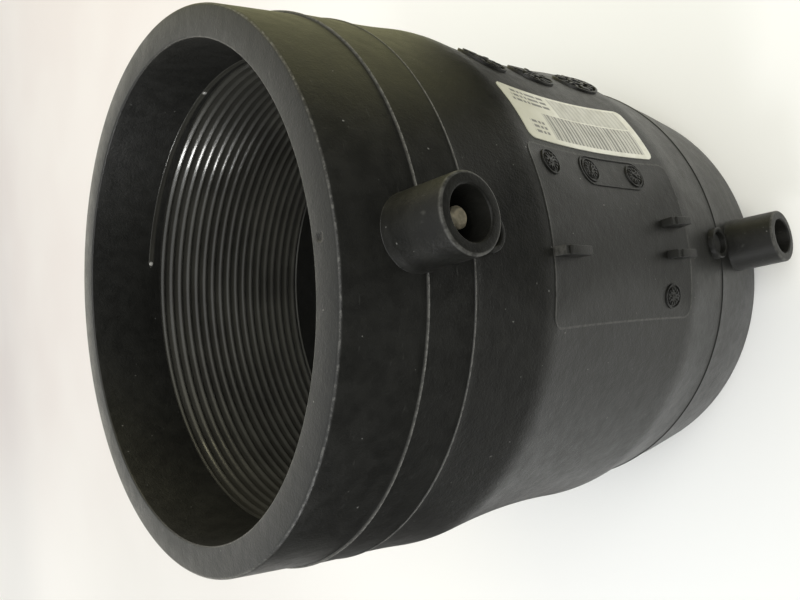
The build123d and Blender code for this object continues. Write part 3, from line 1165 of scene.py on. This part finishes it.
def printed_film():
    finish = Finish("printed_film")
    flat = finish.add("ShaderNodeUVMap", uv_map="print").outputs[0]
    across, along = finish.parts(flat)[:2]

    def between(value, low, high):
        return finish.times(finish.ramp(value, low - ink_edge, low + ink_edge),
                            finish.ramp(value, high - ink_edge, high + ink_edge, 1.0, 0.0))

    def box(left, right, bottom, top):
        """1 inside a box, with softly inked edges."""
        return finish.times(between(across, left, right), between(along, bottom, top))

    def steps(spacing, seed):
        """How far along its step each point is, from 0 to 1, and the step's own random number."""
        number = finish.math("DIVIDE", along, spacing)
        step = finish.plus(finish.math("FLOOR", number), seed)
        pick = finish.add("ShaderNodeTexWhiteNoise", {"W": step}, noise_dimensions="1D").outputs["Value"]
        return finish.math("FRACT", number), pick

    def bars(spacing, seed, dark, pale):
        """Even bars, each with its own width, on a ground of pale ink."""
        share, pick = steps(spacing, seed)
        inked = finish.math("LESS_THAN", share, finish.plus(finish.times(pick, 0.4), 0.25))
        return finish.most(finish.times(inked, dark), pale)

    lower_bars = finish.times(box(*lower_block), bars(1.45, 11.0, dark=0.95, pale=0.34))
    upper_bars = finish.times(box(*upper_block), bars(1.9, 37.0, dark=0.5, pale=0.3))
    strokes = finish.math("LESS_THAN", steps(0.5, 71.0)[1], 0.75)
    lines = [box(3.0 + 1.7 * line, 3.9 + 1.7 * line, 8.4, 22.6 - 0.8 * line) for line in range(3)]
    lines += [box(-6.6 + 1.5 * line, -5.8 + 1.5 * line, 15.6, 21.6) for line in range(3)]
    text = finish.most(0.0, *lines)
    ink = finish.most(lower_bars, upper_bars, finish.times(text, strokes))

    smudge = finish.noise(finish.millimetres(), 0.35, detail=3.0)
    film = finish.blend(finish.ramp(smudge, 0.35, 0.7), (0.66, 0.65, 0.57, 1), (0.58, 0.57, 0.49, 1))
    film = finish.blend(finish.ramp(along, 4.0, 22.0, 0.0, 0.8), film, (0.47, 0.46, 0.36, 1))
    finish.shade({
        "Base Color": finish.blend(finish.times(ink, 0.9), film, (0.09, 0.088, 0.08, 1)),
        "Roughness": finish.ramp(smudge, 0.3, 0.7, 0.32, 0.42),
        "Normal": finish.bump(smudge, 0.08 * MM, 0.5),
    })
    return finish.material


label.data.materials.append(printed_film())
print("finish: printed film")

# %% [markdown]
# ## The table top
#
# A pale sheet, with painted shade: darker behind the coupler than in front of it, most of all towards +X.

# %% The floor
floor_mesh = bpy.data.meshes.new("floor")
floor_bm = bmesh.new()
bmesh.ops.create_circle(floor_bm, cap_ends=True, segments=64, radius=4.0)
floor_bm.to_mesh(floor_mesh)
floor_bm.free()
floor = bpy.data.objects.new("floor", floor_mesh)
bpy.context.scene.collection.objects.link(floor)


def table_top():
    finish = Finish("table_top")
    place = finish.millimetres()
    across, depth = finish.parts(place)[:2]
    cloud = finish.noise(place, 0.006)
    # Painted shade: the far part of the table is darker, and darker and warmer towards +X
    left = finish.blend(finish.ramp(depth, 400.0, 800.0), (0.77, 0.755, 0.74, 1), (0.98, 0.955, 0.94, 1))
    far = finish.blend(finish.ramp(across, -260.0, 40.0), left, (0.78, 0.725, 0.715, 1))
    paper_and_shade = finish.blend(finish.ramp(depth, -50.0, 380.0), (0.92, 0.925, 0.91, 1), far)
    tone = finish.blend(finish.ramp(cloud, 0.3, 0.7, 0.0, 0.3), paper_and_shade, (0.9, 0.885, 0.87, 1))
    finish.shade({"Base Color": tone, "Roughness": 0.7})
    return finish.material


floor_mesh.materials.append(table_top())

# %% [markdown]
# ## Cards in the reflections
#
# Six cards are seen only by shiny surfaces, and leave no shadow. A black one stands in an arc close to the
# near side, and darkens the upper collar there; the lower half, which is seen more steeply, mirrors the
# table in front of the card instead. An olive one carries that arc on round the +X side. Two small ones
# stand closer in: one darkens the ramp beside the label, and one dims the edge on the -X side. A bright
# one stands far behind and shines along the mouth's face, and a window-like one draws the bright sparks on
# the first turns of the winding.

# %% The six cards
card_radius, card_bottom, card_top = 0.155, 0.008, 0.2  # metres
close_radius = 0.088
black_from, black_to, olive_to = -112.0, 52.0, 125.0  # azimuths from -Y towards +X
window_x, window_y = -0.7, -0.02


def card(name, bm, glow, glow_colour, colour=(0.01, 0.01, 0.01, 1)):
    mesh = bpy.data.meshes.new(name)
    bm.to_mesh(mesh)
    bm.free()
    holder = bpy.data.objects.new(name, mesh)
    bpy.context.scene.collection.objects.link(holder)
    holder.visible_camera = False
    holder.visible_diffuse = False
    holder.visible_shadow = False
    finish = Finish(name)
    finish.shade({"Base Color": colour, "Roughness": 0.9, "Emission Color": glow_colour,
                  "Emission Strength": glow})
    mesh.materials.append(finish.material)


def arc_sheet(start, stop, radius=card_radius, bottom=card_bottom, top=card_top):
    """An upright arc close round the coupler, between two azimuths."""
    bm = bmesh.new()
    ends = [bm.verts.new((radius, 0, level)) for level in (bottom, top)]
    edge = bm.edges.new(ends)
    rotate(bm, radians(start - 90))
    spin(bm, ends + [edge], radians(stop - start), steps=40)
    return bm


def upright_sheet(place, width, height, turned):
    """An upright rectangle at a place, turned about the vertical."""
    bm = bmesh.new()
    bmesh.ops.create_grid(bm, x_segments=1, y_segments=1, size=0.5)
    bmesh.ops.scale(bm, vec=(width, height, 1), verts=bm.verts)
    rotate(bm, pi / 2, axis="X")
    rotate(bm, turned)
    bmesh.ops.translate(bm, vec=place, verts=bm.verts)
    return bm


neutral, olive, warm = (1.0, 0.985, 0.94, 1), (1.0, 0.96, 0.52, 1), (1.0, 0.955, 0.8, 1)
card("black_card", arc_sheet(black_from, black_to), 0.0, neutral)
card("olive_card", arc_sheet(black_to, olive_to), 0.68, olive)
card("ramp_card", arc_sheet(38.0, 67.0, close_radius, 0.052, 0.097), 0.0, neutral)
card("limb_card", arc_sheet(-130.0, -90.0, close_radius, 0.002, 0.12), 0.35, neutral)
card("bright_card", upright_sheet((0.1, 0.9, 0.25), 2.0, 0.3, 0.0), 1.6, warm, (0.8, 0.8, 0.78, 1))
card("window_card", upright_sheet((window_x, window_y, 0.385), 0.17, 0.12, pi / 2), 26.0, neutral,
     (0.8, 0.8, 0.8, 1))

# %% [markdown]
# ## Light
#
# A broad soft light hangs overhead, with a warmer one on the +X side and a small window-like one on the
# other. The room's own light is pale, and yellower towards +X.

# %% The lights and the room
def soft_light(name, place, aim_height, size, power, colour):
    lamp = bpy.data.lights.new(name, "AREA")
    lamp.shape = "RECTANGLE"
    lamp.size, lamp.size_y = size
    lamp.energy = power
    lamp.color = colour
    holder = bpy.data.objects.new(name, lamp)
    holder.location = place
    aim = Vector((0, 0, aim_height)) - Vector(place)
    holder.rotation_euler = aim.to_track_quat("-Z", "Y").to_euler()
    bpy.context.scene.collection.objects.link(holder)


soft_light("ceiling", (0.0, -0.55, 1.15), 0.08, (1.1, 0.4), 5.8, (1.0, 0.99, 0.955))
soft_light("warm_side", (0.85, 0.1, 0.38), 0.08, (0.5, 0.3), 1.9, (1.0, 0.92, 0.6))
soft_light("window", (window_x, window_y, 0.42), 0.12, (0.14, 0.14), 1.3, (0.96, 0.98, 1.0))

pale_side, yellow_side = (0.97, 0.985, 0.985, 1), (0.86, 0.83, 0.66, 1)
yellow_from, yellow_full = 0.1, 0.9  # how far a direction points along +X
room_strength = 0.82

world = bpy.data.worlds.new("room")
world.use_nodes = True
nodes, links = world.node_tree.nodes, world.node_tree.links
room = nodes["Background"]
sky = nodes.new("ShaderNodeTexCoord")
ways = nodes.new("ShaderNodeSeparateXYZ")
side = nodes.new("ShaderNodeMapRange")
walls = nodes.new("ShaderNodeMix")
walls.data_type = "RGBA"
side.inputs["From Min"].default_value = yellow_from
side.inputs["From Max"].default_value = yellow_full
walls.inputs["A"].default_value = pale_side
walls.inputs["B"].default_value = yellow_side
room.inputs["Strength"].default_value = room_strength
links.new(sky.outputs["Generated"], ways.inputs[0])
links.new(ways.outputs[0], side.inputs["Value"])
links.new(side.outputs["Result"], walls.inputs["Factor"])
links.new(walls.outputs["Result"], room.inputs["Color"])
bpy.context.scene.world = world
bpy.context.scene.view_settings.view_transform = "Standard"
print("lights:", len(bpy.data.lights))
